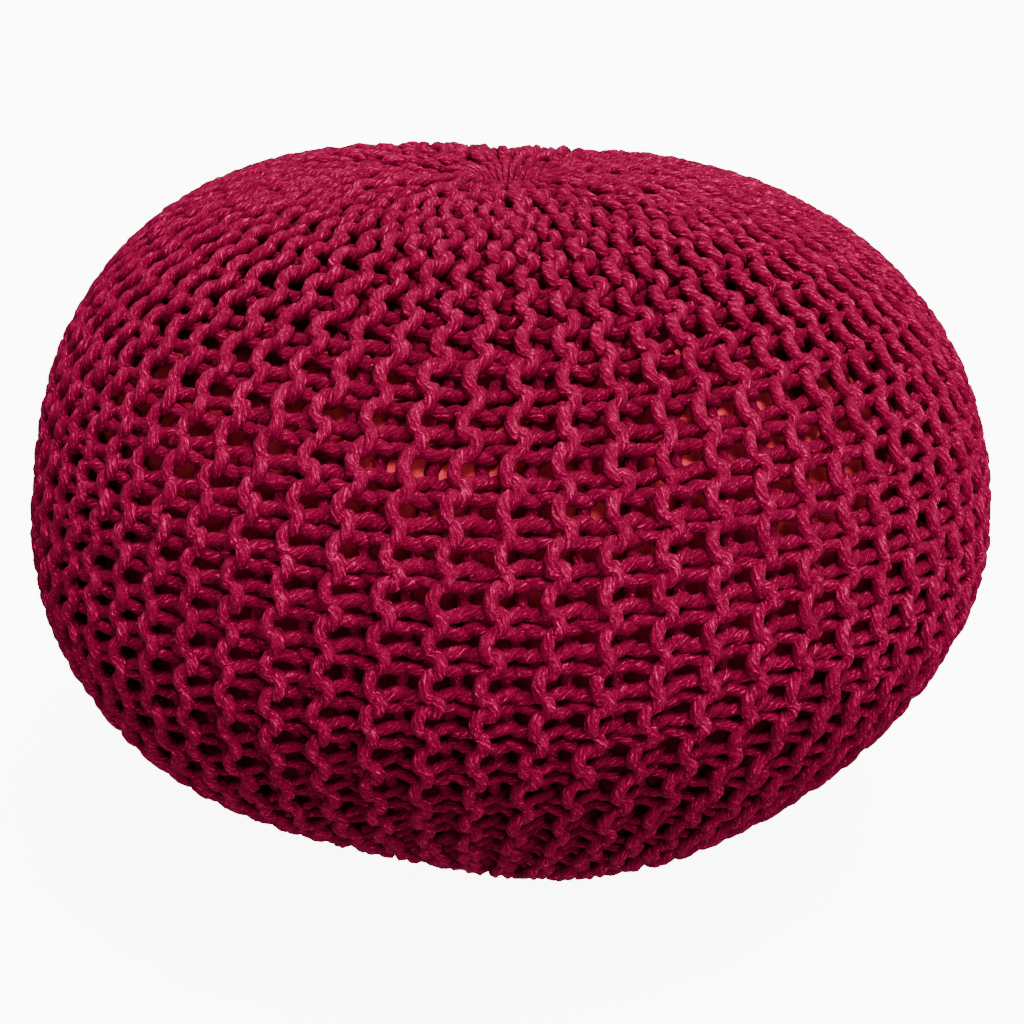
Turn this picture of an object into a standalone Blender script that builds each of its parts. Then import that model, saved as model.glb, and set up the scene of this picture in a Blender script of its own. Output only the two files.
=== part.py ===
"""Knitted floor pouf: a filled inner bag in a thick ribbed cover of knitted cotton cord."""

import math

import bmesh
import bpy
from mathutils import Vector

# Driving dimensions, in metres
RADIUS = 0.250
CROWN_HEIGHT = 0.1725
BELLY_DEPTH = 0.201
FLOOR_DROP = 0.190
AXIS_X = -0.0021

# Fullness of the two halves: 2 draws an ellipse, more is boxier and less is more pointed
CROWN_FULLNESS = 2.39
BELLY_FULLNESS = 1.69

# Slow swells of the hand-filled bag, seen from the front: waves round it, height, direction
SWELLS = (
    (2, 0.0037, math.radians(-50)),
    (3, 0.0020, math.radians(-33)),
    (4, 0.0055, math.radians(35)),
    (5, 0.0040, math.radians(-10)),
)
LEVEL_BASE_RADIUS = 0.060
FULL_SWELL_RADIUS = 0.140

# Ribs of the cover, which lean slightly round the bag from the bottom to the top
RIBS = 70
RIB_DEPTH = 0.005
FIRST_RIB = math.radians(-1.7)
RIB_LEAN = 0.089
RIB_FADE_RADIUS = 0.045

# Layers
COVER_THICKNESS = 0.014
LINER_GAP = 0.0004

# Gathers: the upper one pulls the crown down into a shallow dish with a dimple at its middle
DISH_DEPTH = 0.0115
DISH_RADIUS = 0.085
DISH_STEEPNESS = 1.3
DIMPLE_DEPTH = 0.006
DIMPLE_RADIUS = 0.014
GATHER_HOLE_RADIUS = 0.006

# Mesh: the outside has a column on each rib and one in each groove
COVER_COLUMNS = 2 * RIBS
COVER_ROWS = 25
BAG_COLUMNS = RIBS // 2
BAG_ROWS = 20
TOP_RING = math.radians(87)
SLOPE_STEP = 0.001

COTTON_RED = (0.23, 0.004, 0.030, 1.0)
LINER_CORAL = (0.80, 0.050, 0.068, 1.0)


def smooth_step(low, high, value):
    """Rise from 0 at low to 1 at high."""
    part = min(1.0, max(0.0, (value - low) / (high - low)))
    return part * part * (3 - 2 * part)


def bag_point(lat, lon):
    """Point of the bag before the floor presses it; lon 0 is the front, lat 0 the widest line."""
    fullness = CROWN_FULLNESS if lat > 0 else BELLY_FULLNESS
    height = CROWN_HEIGHT if lat > 0 else BELLY_DEPTH
    reach = RADIUS * abs(math.cos(lat)) ** (2 / fullness)
    level = math.copysign(height * abs(math.sin(lat)) ** (2 / fullness), lat)
    point = Vector((reach * math.sin(lon), -reach * math.cos(lon), level))
    around = math.atan2(point.z, point.x)
    sideways = (point.x ** 2 + point.z ** 2) / point.length_squared
    swell = sum(size * math.cos(waves * (around - turned)) for waves, size, turned in SWELLS)
    if lat < 0:
        swell *= smooth_step(LEVEL_BASE_RADIUS, FULL_SWELL_RADIUS, reach)
    point *= 1 + sideways * swell / RADIUS
    if lat > 0:
        point.z -= DISH_DEPTH * max(0.0, 1 - reach / DISH_RADIUS) ** DISH_STEEPNESS
        point.z -= DIMPLE_DEPTH * math.exp(-(reach / DIMPLE_RADIUS) ** 2)
    return point


def bag_normal(lat, lon):
    """Direction straight out of the bag's surface."""
    if abs(lat) > TOP_RING:
        return Vector((0, 0, math.copysign(1, lat)))
    east = bag_point(lat, lon + SLOPE_STEP) - bag_point(lat, lon - SLOPE_STEP)
    north = bag_point(lat + SLOPE_STEP, lon) - bag_point(lat - SLOPE_STEP, lon)
    return east.cross(north).normalized()


def layer_point(lat, lon, depth, groove=0.0):
    """Point of a layer that lies depth inside the rib tops, pressed flat on the floor."""
    point = bag_point(lat, lon)
    fade = min(1.0, math.hypot(point.x, point.y) / RIB_FADE_RADIUS)
    point -= bag_normal(lat, lon) * (depth + groove * fade)
    level = max(point.z + FLOOR_DROP, depth)
    return Vector((point.x + AXIS_X, point.y, level))


def latitude_at_reach(reach):
    """Latitude under the widest line where the bag is reach away from its axis."""
    return -math.acos((reach / RADIUS) ** (BELLY_FULLNESS / 2))


def add_skin(mesh, rows, columns, depth, groove=0.0):
    """Add a layer's rings, from the gather hole up, and the cap at its top; return its lowest ring."""
    lowest = latitude_at_reach(GATHER_HOLE_RADIUS)
    rings = []
    for row in range(rows + 1):
        lat = lowest + (TOP_RING - lowest) * row / rows
        ring = []
        for column in range(columns):
            lon = FIRST_RIB + column * 2 * math.pi / columns + RIB_LEAN * lat
            ring.append(mesh.verts.new(layer_point(lat, lon, depth, groove * (column % 2))))
        rings.append(ring)
    for below, above in zip(rings, rings[1:]):
        for left in range(columns):
            right = (left + 1) % columns
            mesh.faces.new((below[left], below[right], above[right], above[left]))
    add_cap(mesh, rings[-1], layer_point(math.pi / 2, 0.0, depth))
    return rings[0]


def add_cap(mesh, ring, point):
    """Close a ring with a fan of triangles to one point."""
    tip = mesh.verts.new(point)
    for left in range(len(ring)):
        mesh.faces.new((ring[left], ring[(left + 1) % len(ring)], tip))


def add_hole_wall(mesh, outer, inner):
    """Join the cover's outer ring to its inner ring, which has fewer points."""
    share = len(outer) // len(inner)
    for left in range(len(inner)):
        right = (left + 1) % len(inner)
        start = left * share
        for step in range(start, start + share):
            mesh.faces.new((outer[step], outer[(step + 1) % len(outer)], inner[left]))
        mesh.faces.new((outer[(start + share) % len(outer)], inner[right], inner[left]))


def add_object(name, mesh, colour, roughness):
    """Turn a bmesh into a named object with its own material."""
    bmesh.ops.recalc_face_normals(mesh, faces=mesh.faces)
    data = bpy.data.meshes.new(name)
    mesh.to_mesh(data)
    mesh.free()
    data.shade_smooth()
    data.set_sharp_from_angle(angle=math.radians(60))
    material = bpy.data.materials.new(name)
    material.use_nodes = True
    surface = material.node_tree.nodes["Principled BSDF"]
    surface.inputs["Base Color"].default_value = colour
    surface.inputs["Roughness"].default_value = roughness
    surface.inputs["Metallic"].default_value = 0.0
    data.materials.append(material)
    part = bpy.data.objects.new(name, data)
    bpy.context.scene.collection.objects.link(part)
    return part


def knit_cover():
    """Thick cover with raised ribs, gathered into a shallow dish on top and to a small hole below."""
    mesh = bmesh.new()
    outer = add_skin(mesh, COVER_ROWS, COVER_COLUMNS, 0.0, RIB_DEPTH)
    inner = add_skin(mesh, BAG_ROWS, BAG_COLUMNS, COVER_THICKNESS)
    add_hole_wall(mesh, outer, inner)
    return add_object("knit_cover", mesh, COTTON_RED, 0.9)


def liner():
    """Filled inner bag, which fills the cover."""
    mesh = bmesh.new()
    depth = COVER_THICKNESS + LINER_GAP
    lowest = add_skin(mesh, BAG_ROWS, BAG_COLUMNS, depth)
    add_cap(mesh, lowest, layer_point(-math.pi / 2, 0.0, depth))
    return add_object("liner", mesh, LINER_CORAL, 0.85)


for old in list(bpy.data.objects):
    bpy.data.objects.remove(old, do_unlink=True)

pouf = bpy.data.objects.new("pouf", None)
bpy.context.scene.collection.objects.link(pouf)
for piece in (knit_cover(), liner()):
    piece.parent = pouf
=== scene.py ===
import math

import bmesh
import bpy
import numpy as np
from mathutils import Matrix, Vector


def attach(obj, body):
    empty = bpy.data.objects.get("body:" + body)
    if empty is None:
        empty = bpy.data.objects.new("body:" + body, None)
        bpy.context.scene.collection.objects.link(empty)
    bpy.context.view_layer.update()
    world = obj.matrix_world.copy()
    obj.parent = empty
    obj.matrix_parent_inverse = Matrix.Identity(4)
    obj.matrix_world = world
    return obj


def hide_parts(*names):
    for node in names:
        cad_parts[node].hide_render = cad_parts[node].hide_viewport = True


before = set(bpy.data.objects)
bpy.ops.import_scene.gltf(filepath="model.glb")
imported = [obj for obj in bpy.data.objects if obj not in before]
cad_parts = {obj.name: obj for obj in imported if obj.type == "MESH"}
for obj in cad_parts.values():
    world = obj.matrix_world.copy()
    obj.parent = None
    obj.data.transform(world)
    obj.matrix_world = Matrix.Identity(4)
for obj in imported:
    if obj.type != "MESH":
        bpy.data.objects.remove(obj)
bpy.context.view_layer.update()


# The filled bag: a sack of coral cotton, sewn closed and overfilled, so that it swells unevenly and
# is pressed flat where it stands. The cover is stretched over it, so the whole pouf has its shape:
# two half eggs with slow waves round them. It shows as coral specks and dark gaps in the knitting.
RADIUS = 0.250
CROWN_HEIGHT = 0.1725
BELLY_DEPTH = 0.201
FLOOR_DROP = 0.190
AXIS_X = -0.0021
CROWN_FULLNESS = 2.39
BELLY_FULLNESS = 1.69
SWELLS = (
    (2, 0.0037, math.radians(-50)),
    (3, 0.0020, math.radians(-33)),
    (4, 0.0055, math.radians(35)),
    (5, 0.0040, math.radians(-10)),
)
LEVEL_BASE_RADIUS = 0.060
FULL_SWELL_RADIUS = 0.140
DISH_DEPTH = 0.0052
DISH_RADIUS = 0.085
DISH_STEEPNESS = 1.15
PIT_DEPTH = 0.0110
PIT_RADIUS = 0.0150
PIT_STEEPNESS = 3
BASE_ROUNDING = 0.0015
SLOPE_STEP = 0.0005
NO_SLOPE = 1e-12


def smooth_step(start, end, value):
    """Change smoothly from 0 at start to 1 at end, of which either may be the larger."""
    part = np.clip((value - start) / (end - start), 0, 1)
    return part * part * (3 - 2 * part)


def rib_top_points(lat, lon):
    """Points that the rib tops touch, pressed on the floor; lon 0 is the front, lat 0 the widest."""
    upper = lat > 0
    fullness = np.where(upper, CROWN_FULLNESS, BELLY_FULLNESS)
    height = np.where(upper, CROWN_HEIGHT, BELLY_DEPTH)
    reach = RADIUS * np.abs(np.cos(lat)) ** (2 / fullness)
    level = np.sign(lat) * height * np.abs(np.sin(lat)) ** (2 / fullness)
    x, y = reach * np.sin(lon), -reach * np.cos(lon)
    around = np.arctan2(level, x)
    sideways = (x ** 2 + level ** 2) / (x ** 2 + y ** 2 + level ** 2)
    swell = sum(size * np.cos(waves * (around - turned)) for waves, size, turned in SWELLS)
    fade = smooth_step(LEVEL_BASE_RADIUS, FULL_SWELL_RADIUS, reach)
    grow = 1 + sideways * swell * np.where(upper, 1, fade) / RADIUS
    x, y, level = x * grow, y * grow, level * grow
    dish = DISH_DEPTH * np.maximum(1 - reach / DISH_RADIUS, 0) ** DISH_STEEPNESS
    pit = PIT_DEPTH * np.exp(-(reach / PIT_RADIUS) ** PIT_STEEPNESS)
    level = level - np.where(upper, dish + pit, 0)
    lift = (level + FLOOR_DROP) / BASE_ROUNDING
    level = BASE_ROUNDING * (np.maximum(lift, 0) + np.log1p(np.exp(-np.abs(lift))))
    return np.stack([x + AXIS_X, y, level], axis=-1)


def outward(lat, lon):
    """Directions that point straight out of the pouf."""
    east = rib_top_points(lat, lon + SLOPE_STEP) - rib_top_points(lat, lon - SLOPE_STEP)
    north = rib_top_points(lat + SLOPE_STEP, lon) - rib_top_points(lat - SLOPE_STEP, lon)
    normal = np.cross(east, north)
    size = np.linalg.norm(normal, axis=-1, keepdims=True)
    upright = np.sign(lat)[..., None] * np.array([0.0, 0.0, 1.0])
    return np.where(size > NO_SLOPE, normal / np.maximum(size, NO_SLOPE), upright)


def axis_distance(point):
    """Distance of points from the line between the two gathers."""
    return np.hypot(point[..., 0] - AXIS_X, point[..., 1])


# Knit sizes that the bag needs too: how thick the cover is at a distance from the axis
CORD_DIAMETER = 0.0062
RELIEF_WIDEST = 0.0041
RELIEF_GATHERED = 0.0062
RELIEF_LEFT = 0.05
SMOOTH_GATHER = (0.018, 0.060)


def rib_relief(reach):
    """Half the depth of the loops: more towards the gathers, and next to none right at them."""
    relief = RELIEF_WIDEST + (RELIEF_GATHERED - RELIEF_WIDEST) * np.clip(1 - reach / RADIUS, 0, 1)
    return relief * (RELIEF_LEFT + (1 - RELIEF_LEFT) * smooth_step(*SMOOTH_GATHER, reach))


class Value:
    """A node's output that takes part in Python sums; each sum adds a maths node."""

    def __init__(self, shader, socket):
        self.shader = shader
        self.socket = socket

    def maths(self, operation, *others):
        return self.shader.node("ShaderNodeMath", {"operation": operation}, self, *others)

    def __add__(self, other):
        return self.maths("ADD", other)

    def __sub__(self, other):
        return self.maths("SUBTRACT", other)

    def __rsub__(self, other):
        return self.shader.node("ShaderNodeMath", {"operation": "SUBTRACT"}, other, self)

    def __mul__(self, other):
        return self.maths("MULTIPLY", other)

    __radd__ = __add__
    __rmul__ = __mul__


class Shader:
    """A material whose nodes are all made by one method."""

    def __init__(self, name):
        self.material = bpy.data.materials.new(name)
        self.material.use_nodes = True
        self.tree = self.material.node_tree
        self.surface = self.tree.nodes["Principled BSDF"]

    def node(self, kind, settings, *values, output=0, **named):
        """Make a node, set it up, fill its inputs in order or by name, and return one output."""
        made = self.tree.nodes.new(kind)
        for key, value in settings.items():
            if key == "stops":
                ramp = made.color_ramp
                while len(ramp.elements) < len(value):
                    ramp.elements.new(0.5)
                for element, (place, colour) in zip(ramp.elements, value):
                    element.position = place
                    element.color = (*colour, 1.0)
            else:
                setattr(made, key, value)
        for index, value in enumerate(values):
            self.fill(made.inputs[index], value)
        for key, value in named.items():
            self.fill(made.inputs[key.replace("_", " ")], value)
        return Value(self, made.outputs[output])

    def fill(self, socket, value):
        """Link what varies over the surface, and set what doesn't."""
        if isinstance(value, Value):
            self.tree.links.new(value.socket, socket)
        else:
            socket.default_value = value

    def finish(self, colour, bump, height, **constant):
        """Feed the surface with a colour and a bump, and set what is the same all over."""
        normal = self.node("ShaderNodeBump", {}, Height=bump, Distance=height)
        self.fill(self.surface.inputs["Base Color"], colour)
        self.fill(self.surface.inputs["Normal"], normal)
        for key, value in constant.items():
            self.fill(self.surface.inputs[key.replace("_", " ")], value)
        return self.material


# Cloth of the bag, by how bright it shows: painted shade, dark in the gaps, through crimson to coral where
# it comes forward
BAG_PAINTED_DEEP_SHADE = (0.070, 0.0005, 0.0045)
BAG_PAINTED_SHADE = (0.520, 0.0060, 0.0520)
BAG_CORAL = (0.80, 0.040, 0.068)
CLOTH_PAINTED_SHADE_TONES = ((0.06, BAG_PAINTED_DEEP_SHADE), (0.45, BAG_PAINTED_SHADE), (0.95, BAG_CORAL))
THREADS_PER_METRE = 1600
WARP_STANDS = 0.30
WEFT_STANDS = 0.14
CLOUDS_STAND = 0.5
CLOUD_SCALE = 60.0
WEAVE_SHOWS = 0.4
CLOTH_DARKER = 0.1
WEAVE_HEIGHT = 0.0002


def bag_cloth():
    """Plain woven cotton, coral where the bag presses against the knitting, with painted shade darker
    elsewhere.
    """
    shader = Shader("bag_cloth")
    place = shader.node("ShaderNodeUVMap", {"uv_map": "UVMap"})
    across = shader.node("ShaderNodeSeparateXYZ", {}, place)
    up = shader.node("ShaderNodeSeparateXYZ", {}, place, output=1)
    threads = THREADS_PER_METRE * math.tau
    warp = shader.node("ShaderNodeMath", {"operation": "SINE"}, across * threads)
    weft = shader.node("ShaderNodeMath", {"operation": "SINE"}, up * threads)
    where = shader.node("ShaderNodeTexCoord", {}, output=3)
    clouds = shader.node("ShaderNodeTexNoise", {}, Vector=where, Scale=CLOUD_SCALE, Detail=3.0)
    weave = warp * WARP_STANDS + weft * WEFT_STANDS + clouds * CLOUDS_STAND
    # Where the bag comes forward, and above the widest line, the cloth gets painted light; elsewhere it
    # gets painted shade
    pressed = shader.node("ShaderNodeAttribute", {"attribute_name": "pressed"}, output=2)
    tone = weave * WEAVE_SHOWS + pressed - CLOTH_DARKER
    colour = shader.node("ShaderNodeValToRGB", {"stops": CLOTH_PAINTED_SHADE_TONES}, tone)
    return shader.finish(colour, weave, WEAVE_HEIGHT, Roughness=0.9, Specular_IOR_Level=0.1)


# Folds, as waves round the bag, waves up it and a start, and the band where they come forward
BAG_FOLDS = ((9, 5, 0.4), (14, -11, 2.1), (23, 17, 4.0), (31, -8, 1.2))
FOLD_SIZE = 0.30
PRESSED_LAT = math.radians(30)
PRESSED_SPREAD = math.radians(20)
PRESSED_SHARE = 0.75
BAG_CLEARANCE = 0.0028
BAG_BULGE = 0.0032
PAINTED_LIGHT_LATS = (math.radians(-18), math.radians(14))
PAINTED_LIGHT_UPPER = 0.25
BAG_SEGMENTS = 192
BAG_RINGS = 128
BAG_TOP_RADIUS = 0.045
BAG_TOP_PASSES = 12


def lay_cloth_map(mesh):
    """UV map of the cloth in metres, across round the bag and up from the floor."""
    cloth_map = mesh.loops.layers.uv.new("UVMap")
    for face in mesh.faces:
        middle = face.calc_center_median()
        turn = math.atan2(middle.x - AXIS_X, -middle.y)
        for loop in face.loops:
            spot = loop.vert.co
            angle = math.atan2(spot.x - AXIS_X, -spot.y)
            angle += math.tau * round((turn - angle) / math.tau)
            loop[cloth_map].uv = (angle * RADIUS, spot.z)


def make_bag():
    """Closed round form just behind the knitting; above the widest line it comes forward in patches."""
    mesh = bmesh.new()
    bmesh.ops.create_uvsphere(mesh, u_segments=BAG_SEGMENTS, v_segments=BAG_RINGS, radius=1.0)
    ball = np.array([vert.co for vert in mesh.verts])
    lat = np.arcsin(np.clip(ball[:, 2], -1, 1))
    lon = np.arctan2(ball[:, 0], -ball[:, 1])
    reach = axis_distance(rib_top_points(lat, lon))
    folds = sum(np.sin(turns * lon + rise * lat + start) for turns, rise, start in BAG_FOLDS)
    # The band where the bag comes forward, which also sets where its cloth is painted lit coral instead of
    # painted shade
    pressed = np.exp(-((lat - PRESSED_LAT) / PRESSED_SPREAD) ** 2)
    pressed = pressed * np.clip(PRESSED_SHARE + FOLD_SIZE * folds, 0, 1)
    depth = 2 * rib_relief(np.maximum(reach, SMOOTH_GATHER[1])) + CORD_DIAMETER + BAG_CLEARANCE
    depth = depth - (BAG_CLEARANCE + BAG_BULGE) * pressed
    inside = rib_top_points(lat, lon) - outward(lat, lon) * depth[:, None]
    for vert, point in zip(mesh.verts, inside):
        vert.co = point
    at_top = (reach < BAG_TOP_RADIUS) & (lat > 0)
    top = [vert for vert, chosen in zip(mesh.verts, at_top) if chosen]
    # The cloth is too stiff to follow the small pit at the top, so it bridges it
    every_way = {"use_axis_x": True, "use_axis_y": True, "use_axis_z": True}
    for _ in range(BAG_TOP_PASSES):
        bmesh.ops.smooth_vert(mesh, verts=top, factor=0.5, **every_way)
    bmesh.ops.recalc_face_normals(mesh, faces=mesh.faces)
    lay_cloth_map(mesh)
    data = bpy.data.meshes.new("stuffed_bag")
    mesh.to_mesh(data)
    mesh.free()
    # Painted light and shade: the cloth on the upper half is painted brighter in the gaps, the lower half
    # darker
    painted_light_and_shade = pressed + PAINTED_LIGHT_UPPER * smooth_step(*PAINTED_LIGHT_LATS, lat)
    data.attributes.new("pressed", "FLOAT", "POINT").data.foreach_set("value", painted_light_and_shade)
    data.shade_smooth()
    data.materials.append(bag_cloth())
    bag = bpy.data.objects.new("stuffed_bag", data)
    bpy.context.scene.collection.objects.link(bag)
    return bag


bag = make_bag()
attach(bag, "root")
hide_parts("liner")


# The knitted cover: one soft cotton cord in garter stitch, its rows running from the lower
# gather to the upper one. A knit row and a purl row lean together into each rib, where the heads
# of the one row's loops and the feet of the other's stand side by side, half a stitch apart.
RIBS = 70
RIBS_PER_PANEL = 10
FIRST_RIB = math.radians(-1.7)
RIB_LEAN = 0.089
GATHER_RADIUS = 0.0030
UPPER_END = math.acos((GATHER_RADIUS / RADIUS) ** (CROWN_FULLNESS / 2))
LOWER_END = -math.acos((GATHER_RADIUS / RADIUS) ** (BELLY_FULLNESS / 2))
MERIDIAN_POINTS = 1500

# Length of a stitch up its rib, which grows towards both gathers
STITCH_WIDEST = 0.0175
STITCH_MORE_ABOVE = 0.0032
STITCH_SWELL = 1.8
STITCH_MORE_BELOW = 0.0080
SHORTEST_STITCH_LAT = math.radians(6)
LONGEST_STITCH_LAT = math.radians(-28)

# Shape of a loop: how far it laps over the next row, its bulge and lean in stitches, its relief
LOOP_OVERLAP = 0.0056
LEAST_OVERLAP = 0.15
FULL_OVERLAP_ROOM = 0.011
LOOP_BULGE = 0.160
LEGS_TOGETHER = 0.060
RELIEF_POWER = 1.5
POINTS_PER_STITCH = 14
CORD_SIDES = 6

# Changes in the cord's thickness, and the share of its room that a pair or a lone row fills
PLUMPER_AWAY = 0.08
THINNER_LEGS = 0.32
THINNEST = 0.25
PAIR_FILLS = 0.68
LONE_FILLS = 0.90

# Slow unevenness along a row: waves to a stitch, and their height in stitches, metres or a share
PLACE_WAVES = ((0.23, 0.045), (0.61, 0.045))
WIDTH_WAVES = ((0.37, 0.0005), (0.83, 0.0006))
SIDE_WAVES = ((0.17, 0.0005), (0.41, 0.0005))
THICKNESS_WAVES = ((0.53, 0.03), (1.31, 0.03))
DEPTH_WAVES = ((0.29, 0.0003), (0.71, 0.0003))

# Where every second rib, and then every second row, dives under its neighbours near the gathers
FIRST_DIVE = (0.086, 0.066)
SECOND_DIVE = (0.046, 0.026)
DIVE_VARIES = 0.30
DIVE_DEPTH = 0.010
END_DEPTH = DIVE_DEPTH * 0.999

# On the crown, between two distances from the axis, each row lies a little higher or lower
UNEVEN_FROM = (0.120, 0.075)
UNEVEN_TO = (0.012, 0.035)
UNEVEN_DEPTH = 0.0040
UNEVEN_RAISED = 0.6


def row_dive(row, reach):
    """How deep a row has dived under its neighbours."""
    if row // 2 % 2 == 1:
        return DIVE_DEPTH * smooth_step(*FIRST_DIVE, reach)
    if row % 2 == 1:
        return DIVE_DEPTH * smooth_step(*SECOND_DIVE, reach)
    return np.zeros_like(reach)


def waver(rng, place, waves):
    """Unevenness of hand knitting along a row: a sum of waves, each from a random start."""
    total = np.zeros_like(place)
    for rate, size in waves:
        total += size * np.sin(math.tau * (rate * place + rng.random()))
    return total


def stitch_length(lat):
    """Length of a stitch along its rib, shortest a little above the widest line."""
    above = STITCH_MORE_ABOVE * np.sin(STITCH_SWELL * np.maximum(lat - SHORTEST_STITCH_LAT, 0)) ** 2
    below = STITCH_MORE_BELOW * (1 - smooth_step(LONGEST_STITCH_LAT, SHORTEST_STITCH_LAT, lat))
    return STITCH_WIDEST + above + below


def cord_thickness(lat, room, alone, swing):
    """Share of the full diameter: squeezed where the cord has little room, thin where it is pulled."""
    plump = 1 + PLUMPER_AWAY * np.sin(lat - SHORTEST_STITCH_LAT) ** 2
    fills = PAIR_FILLS + (LONE_FILLS - PAIR_FILLS) * alone
    thickness = np.clip(room / 2 * (1 + alone) / (CORD_DIAMETER * fills), THINNEST, plump)
    stretched = smooth_step(SHORTEST_STITCH_LAT, LONGEST_STITCH_LAT, lat)
    return thickness * (1 - THINNER_LEGS * stretched * (1 - swing ** 2))


def rib_line(row, rib_lon, vary):
    """Along a row's rib: latitude, distance from the axis and stitches counted from the widest line."""
    lat = np.linspace(LOWER_END, UPPER_END, MERIDIAN_POINTS)
    line = rib_top_points(lat, rib_lon + RIB_LEAN * lat)
    reach = axis_distance(line)
    kept = row_dive(row, reach * vary) < END_DEPTH
    lat, line, reach = lat[kept], line[kept], reach[kept]
    step = np.linalg.norm(np.diff(line, axis=0), axis=1)
    count = np.concatenate([[0.0], np.cumsum(step / stitch_length((lat[1:] + lat[:-1]) / 2))])
    return lat, reach, count - np.interp(0.0, lat, count)


def row_path(row, rng):
    """Centre points of one row of loops and, at each, the cord's thickness, the way out of the
    pouf, the depth under the rib tops and the room from rib to rib."""
    side = 1 if row % 2 else -1
    rib_lon = FIRST_RIB + row // 2 * math.tau / RIBS
    vary = 1 + DIVE_VARIES * (rng.random() - 0.5)
    lat, reach, count = rib_line(row, rib_lon, vary)

    # Up the rib, a loop bulges at its head and its foot, and its legs draw together
    points_needed = round((count[-1] - count[0]) * POINTS_PER_STITCH) + 1
    stitches = np.linspace(count[0], count[-1], points_needed)
    turn = stitches * math.tau
    shift = LOOP_BULGE * np.sin(2 * turn) - LEGS_TOGETHER * np.sin(turn)
    shift = shift + waver(rng, stitches, PLACE_WAVES)
    place = stitches + shift * smooth_step(*SMOOTH_GATHER, np.interp(stitches, count, reach))
    row_lat = np.interp(place, count, lat)
    row_reach = np.interp(row_lat, lat, reach)

    # Round the pouf, the loops swing out over the next row and back
    swing = np.cos(turn)
    alone = smooth_step(*SECOND_DIVE, row_reach)
    room = math.tau * row_reach / RIBS * (1 + smooth_step(*FIRST_DIVE, row_reach))
    overlap = LOOP_OVERLAP * np.clip(room / FULL_OVERLAP_ROOM, LEAST_OVERLAP, 1)
    half_width = (room / 2 + overlap) / 2 + waver(rng, stitches, WIDTH_WAVES)
    across = half_width * swing + waver(rng, stitches, SIDE_WAVES)
    across = across * smooth_step(*SMOOTH_GATHER, row_reach) + side * room / 4 * (1 - alone)

    # Inwards, they run from a rib top to the back of the knitting, and rows dive near the gathers
    thickness = cord_thickness(row_lat, room, alone, swing)
    thickness = thickness * (1 + waver(rng, stitches, THICKNESS_WAVES))
    depth = rib_relief(row_reach) * (1 + side * swing * np.abs(swing) ** (RELIEF_POWER - 1))
    depth = depth + row_dive(row, row_reach * vary) + waver(rng, stitches, DEPTH_WAVES)
    depth = np.maximum(depth, 0) + thickness * CORD_DIAMETER / 2
    uneven = smooth_step(*UNEVEN_FROM, row_reach) * smooth_step(*UNEVEN_TO, row_reach) * (row_lat > 0)
    depth = depth + UNEVEN_DEPTH * (rng.random() - UNEVEN_RAISED) * uneven
    row_lon = rib_lon + RIB_LEAN * row_lat + across / row_reach
    facing = outward(row_lat, row_lon)
    points = rib_top_points(row_lat, row_lon) - facing * depth[:, None]
    return points, thickness, facing, depth, room


# Colours of the cord from dark to pale; its tone among them is partly random, partly painted shade between
# the ribs and painted light on the rib tops
COTTON_DEEP = (0.075, 0.0006, 0.0090)
COTTON_RED = (0.205, 0.0019, 0.0300)
COTTON_PINK = (0.830, 0.0190, 0.1650)
COTTON_TONES = ((0.22, COTTON_DEEP), (0.55, COTTON_RED), (1.0, COTTON_PINK))

# Lay of the strands, in metres to a turn, and of the fibres along them, and finer noises
STRANDS = 7
STRAND_LAY = 0.026
LAY_WANDERS = 0.12
FIBRE_RATE = 430.0
FIBRE_CELLS = 3.6
PATCH_SCALE = 180.0
FUZZ_SCALE = 1500.0

# Painted light on a rib top, and painted shade deeper between the ribs, where the cord is sheltered
TOP_LIGHT_SHELTER = 0.04
DEEP_SHADE_SHELTER = 0.50
SHELTER_WIDENS = 0.006

# How much paler each feature makes the cord, and the depth of its colour without them
STRAND_PALER = 0.08
FIBRE_PALER = 0.85
FUZZ_PALER = 0.80
PATCH_PALER = 0.30
# How much paler the painted light makes the rib tops
TOP_LIGHT_PALER = 0.30
LINT_PALER = 0.50
LINT_FROM = 0.59
LINT_FULL = 0.76
COTTON_DARKER = 0.80

# How much each feature stands up, and the height of them together
STRAND_STANDS = 0.30
FIBRE_STANDS = 0.7
FUZZ_STANDS = 0.5
CORD_BUMP_HEIGHT = 0.0007
SHEEN_PINK = (1.0, 0.10, 0.30, 1.0)


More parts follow.
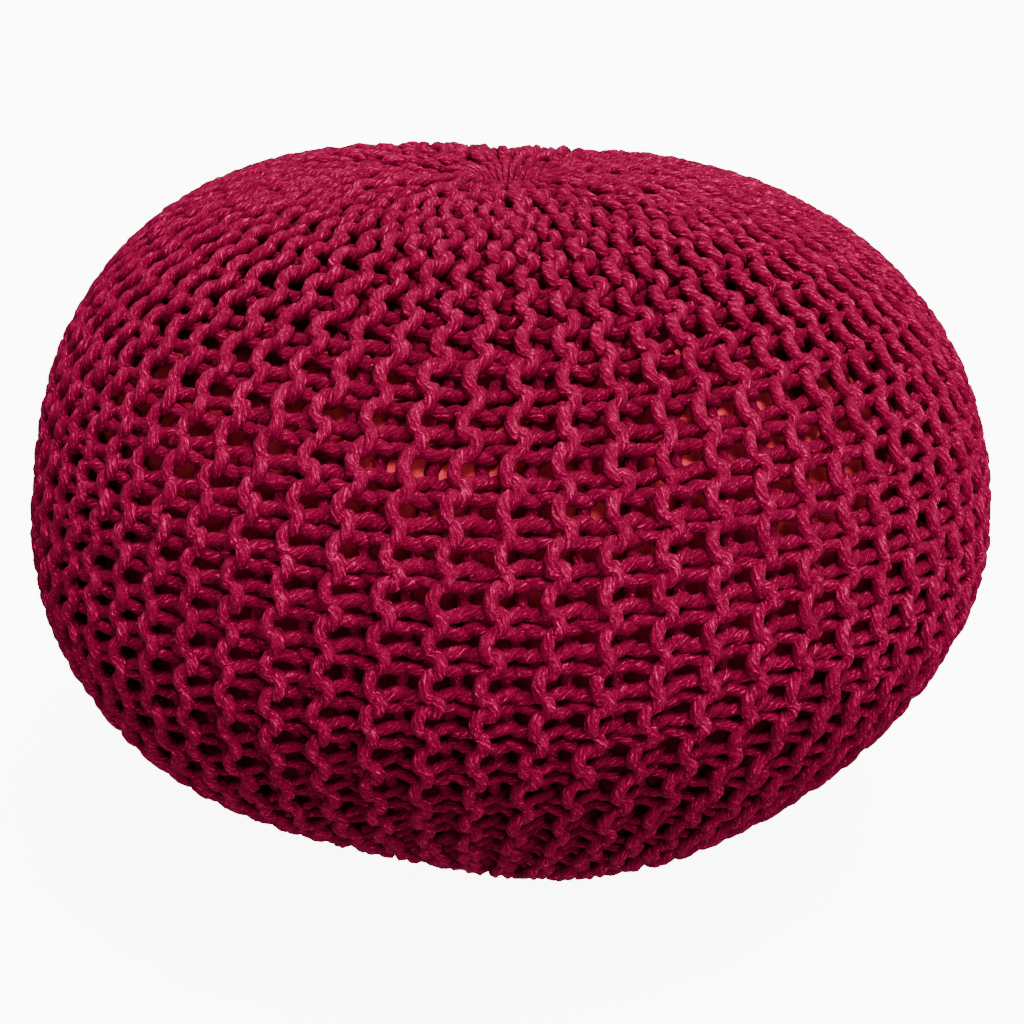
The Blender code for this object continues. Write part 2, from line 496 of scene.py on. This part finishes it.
def cotton_cord():
    """Soft cord of cotton strands laid with a slow twist, dull and fuzzy, with painted light on the rib
    tops and painted shade between them.
    """
    shader = Shader("cotton_cord")
    place = shader.node("ShaderNodeUVMap", {"uv_map": "UVMap"})
    along = shader.node("ShaderNodeSeparateXYZ", {}, place)
    around = shader.node("ShaderNodeSeparateXYZ", {}, place, output=1)
    where = shader.node("ShaderNodeTexCoord", {}, output=3)
    patches = shader.node("ShaderNodeTexNoise", {}, Vector=where, Scale=PATCH_SCALE, Detail=2.0)
    fuzz = shader.node("ShaderNodeTexNoise", {}, Vector=where, Scale=FUZZ_SCALE, Detail=2.0, Roughness=0.7)
    turn = (around + along * (1 / STRAND_LAY) + patches * LAY_WANDERS) * math.tau
    side = shader.node("ShaderNodeMath", {"operation": "COSINE"}, turn) * FIBRE_CELLS
    front = shader.node("ShaderNodeMath", {"operation": "SINE"}, turn) * FIBRE_CELLS
    lie = shader.node("ShaderNodeCombineXYZ", {}, along * FIBRE_RATE, side, front)
    fibres = shader.node("ShaderNodeTexNoise", {}, Vector=lie, Scale=1.0, Detail=3.0, Roughness=0.65)
    strand = shader.node("ShaderNodeMath", {"operation": "SINE"}, turn * STRANDS) * 0.5 + 0.5
    # Painted light on the rib tops, fading into painted shade deeper between the ribs
    shelter = shader.node("ShaderNodeAttribute", {"attribute_name": "shelter"}, output=2)
    painted_top_light = shader.node("ShaderNodeMapRange", {}, shelter, DEEP_SHADE_SHELTER, TOP_LIGHT_SHELTER, 0.0, 1.0)
    lint = shader.node("ShaderNodeMapRange", {}, fibres, LINT_FROM, LINT_FULL, 0.0, LINT_PALER)
    tone = strand * STRAND_PALER + fibres * FIBRE_PALER + fuzz * FUZZ_PALER
    tone = tone + patches * PATCH_PALER + painted_top_light * TOP_LIGHT_PALER + lint - COTTON_DARKER
    colour = shader.node("ShaderNodeValToRGB", {"stops": COTTON_TONES}, tone)
    relief = strand * STRAND_STANDS + fibres * FIBRE_STANDS + fuzz * FUZZ_STANDS
    return shader.finish(
        colour, relief, CORD_BUMP_HEIGHT,
        Roughness=0.95, Specular_IOR_Level=0.05,
        Sheen_Weight=0.03, Sheen_Roughness=0.3, Sheen_Tint=SHEEN_PINK,
    )


def make_row(points, thickness, facing, depth, room):
    """Mesh of one row of cord, with a map in metres along it and turns round it, and an attribute
    that says how sheltered a point lies, 0 on a rib top and about 1 at the back, which sets the cord's
    painted light and shade."""
    curve = bpy.data.curves.new("knit_row", "CURVE")
    curve.dimensions = "3D"
    curve.bevel_depth = CORD_DIAMETER / 2
    curve.bevel_resolution = CORD_SIDES // 2 - 2
    curve.use_fill_caps = True
    spline = curve.splines.new("POLY")
    spline.points.add(len(points) - 1)
    spline.points.foreach_set("co", np.column_stack([points, np.ones(len(points))]).ravel())
    spline.points.foreach_set("radius", thickness)
    guide = bpy.data.objects.new("knit_row", curve)
    data = bpy.data.meshes.new_from_object(guide)
    bpy.data.objects.remove(guide)
    bpy.data.curves.remove(curve)
    steps = np.linalg.norm(np.diff(points, axis=0), axis=1)
    metres = np.concatenate([[0.0], np.cumsum(steps)])
    cord_map = np.empty(len(data.loops) * 2, dtype=np.float32)
    data.uv_layers[0].data.foreach_get("uv", cord_map)
    cord_map[0::2] = np.interp(cord_map[0::2], np.linspace(0, 1, len(points)), metres)
    data.uv_layers[0].data.foreach_set("uv", cord_map)
    skin = np.empty(len(data.vertices) * 3)
    data.vertices.foreach_get("co", skin)

    # The skin has a ring of vertices at each point, and then one for each end's cap
    rings = np.append(np.arange(len(points)), [0, len(points) - 1]).repeat(CORD_SIDES)
    rise = np.sum((skin.reshape(-1, 3) - points[rings]) * facing[rings], axis=1)
    # How deep a point lies for the room around it, which sets the cord's painted light and shade
    shelter = (depth[rings] - rise) / (room[rings] + SHELTER_WIDENS)
    data.attributes.new("shelter", "FLOAT", "POINT").data.foreach_set("value", shelter)
    return data


def make_panel(number, rows, finish, rng):
    """A panel of the cover: neighbouring rows of the cord, joined into one mesh."""
    mesh = bmesh.new()
    for row in rows:
        data = make_row(*row_path(row, rng))
        mesh.from_mesh(data)
        bpy.data.meshes.remove(data)
    data = bpy.data.meshes.new(f"knit_panel_{number}")
    mesh.to_mesh(data)
    mesh.free()
    data.shade_smooth()
    data.materials.append(finish)
    panel = bpy.data.objects.new(data.name, data)
    bpy.context.scene.collection.objects.link(panel)
    return panel


cord_finish = cotton_cord()
rng = np.random.default_rng(7)
for number in range(RIBS // RIBS_PER_PANEL):
    start = 2 * RIBS_PER_PANEL * number
    panel = make_panel(number + 1, range(start, start + 2 * RIBS_PER_PANEL), cord_finish, rng)
    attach(panel, "root")
    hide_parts("knit_cover")


# The studio: a white floor that turns up into a white room all round, so bright that the pouf's
# shadow is nearly lost on it, soft light from above and in front, and the camera, low and close.
STUDIO_RADIUS = 20.0
STUDIO_GLOW = 9.0
STUDIO_PAINT = (0.9, 0.9, 0.9, 1.0)
ROOM_LIGHT = 0.32
WHITE = (1.0, 1.0, 1.0, 1.0)
studio_mesh = bmesh.new()
bmesh.ops.create_uvsphere(studio_mesh, u_segments=48, v_segments=24, radius=STUDIO_RADIUS)
for vert in studio_mesh.verts:
    vert.co.z = max(vert.co.z, 0.0)
studio_data = bpy.data.meshes.new("white_studio")
studio_mesh.to_mesh(studio_data)
studio_mesh.free()
studio = bpy.data.objects.new("white_studio", studio_data)
bpy.context.scene.collection.objects.link(studio)
studio_shader = Shader("white_studio")
studio_shader.surface.inputs["Base Color"].default_value = STUDIO_PAINT
studio_shader.surface.inputs["Roughness"].default_value = 0.9
studio_shader.surface.inputs["Emission Color"].default_value = WHITE
studio_shader.surface.inputs["Emission Strength"].default_value = STUDIO_GLOW
studio_data.materials.append(studio_shader.material)
studio.visible_diffuse = False
studio.visible_glossy = False
studio.visible_shadow = False

world = bpy.data.worlds.new("studio")
world.use_nodes = True
world.node_tree.nodes["Background"].inputs["Color"].default_value = WHITE
world.node_tree.nodes["Background"].inputs["Strength"].default_value = ROOM_LIGHT
bpy.context.scene.world = world


def add_lamp(name, azimuth, elevation, power, spread):
    """Wide soft light from far off, in degrees; azimuth 0 is behind the camera, more is to its right."""
    lamp = bpy.data.lights.new(name, "SUN")
    lamp.energy = power
    lamp.angle = math.radians(spread)
    light = bpy.data.objects.new(name, lamp)
    side, height = math.radians(azimuth), math.radians(elevation)
    level = math.cos(height)
    source = Vector((math.sin(side) * level, -math.cos(side) * level, math.sin(height)))
    light.rotation_euler = source.to_track_quat("Z", "Y").to_euler()
    bpy.context.scene.collection.objects.link(light)


add_lamp("overhead_light", azimuth=34, elevation=68, power=6.8, spread=34)
add_lamp("front_light", azimuth=40, elevation=18, power=0.55, spread=40)
add_lamp("floor_glow", azimuth=10, elevation=-25, power=1.7, spread=60)

# The camera is turned to the pouf's axis at the height of the widest line, and its lens is shifted
# so that this point lies at the aim pixel of the square picture
VIEW_DISTANCE = 3.4106 * RADIUS
VIEW_ELEVATION = math.radians(20.63)
FOCAL_PIXELS = 1608.5
IMAGE_PIXELS = 1024
AIM_PIXEL_X = 505.97
AIM_PIXEL_Y = 484.02
lens = bpy.data.cameras.new("camera")
lens.sensor_width = 36.0
lens.lens = FOCAL_PIXELS / IMAGE_PIXELS * lens.sensor_width
lens.shift_x = (IMAGE_PIXELS / 2 - AIM_PIXEL_X) / IMAGE_PIXELS
lens.shift_y = (AIM_PIXEL_Y - IMAGE_PIXELS / 2) / IMAGE_PIXELS
lens.clip_start = 0.01
camera = bpy.data.objects.new("camera", lens)
step_back = Vector((0.0, -math.cos(VIEW_ELEVATION), math.sin(VIEW_ELEVATION)))
camera.location = Vector((AXIS_X, 0.0, FLOOR_DROP)) + step_back * VIEW_DISTANCE
camera.rotation_euler = (math.pi / 2 - VIEW_ELEVATION, 0.0, 0.0)
bpy.context.scene.collection.objects.link(camera)
bpy.context.scene.camera = camera
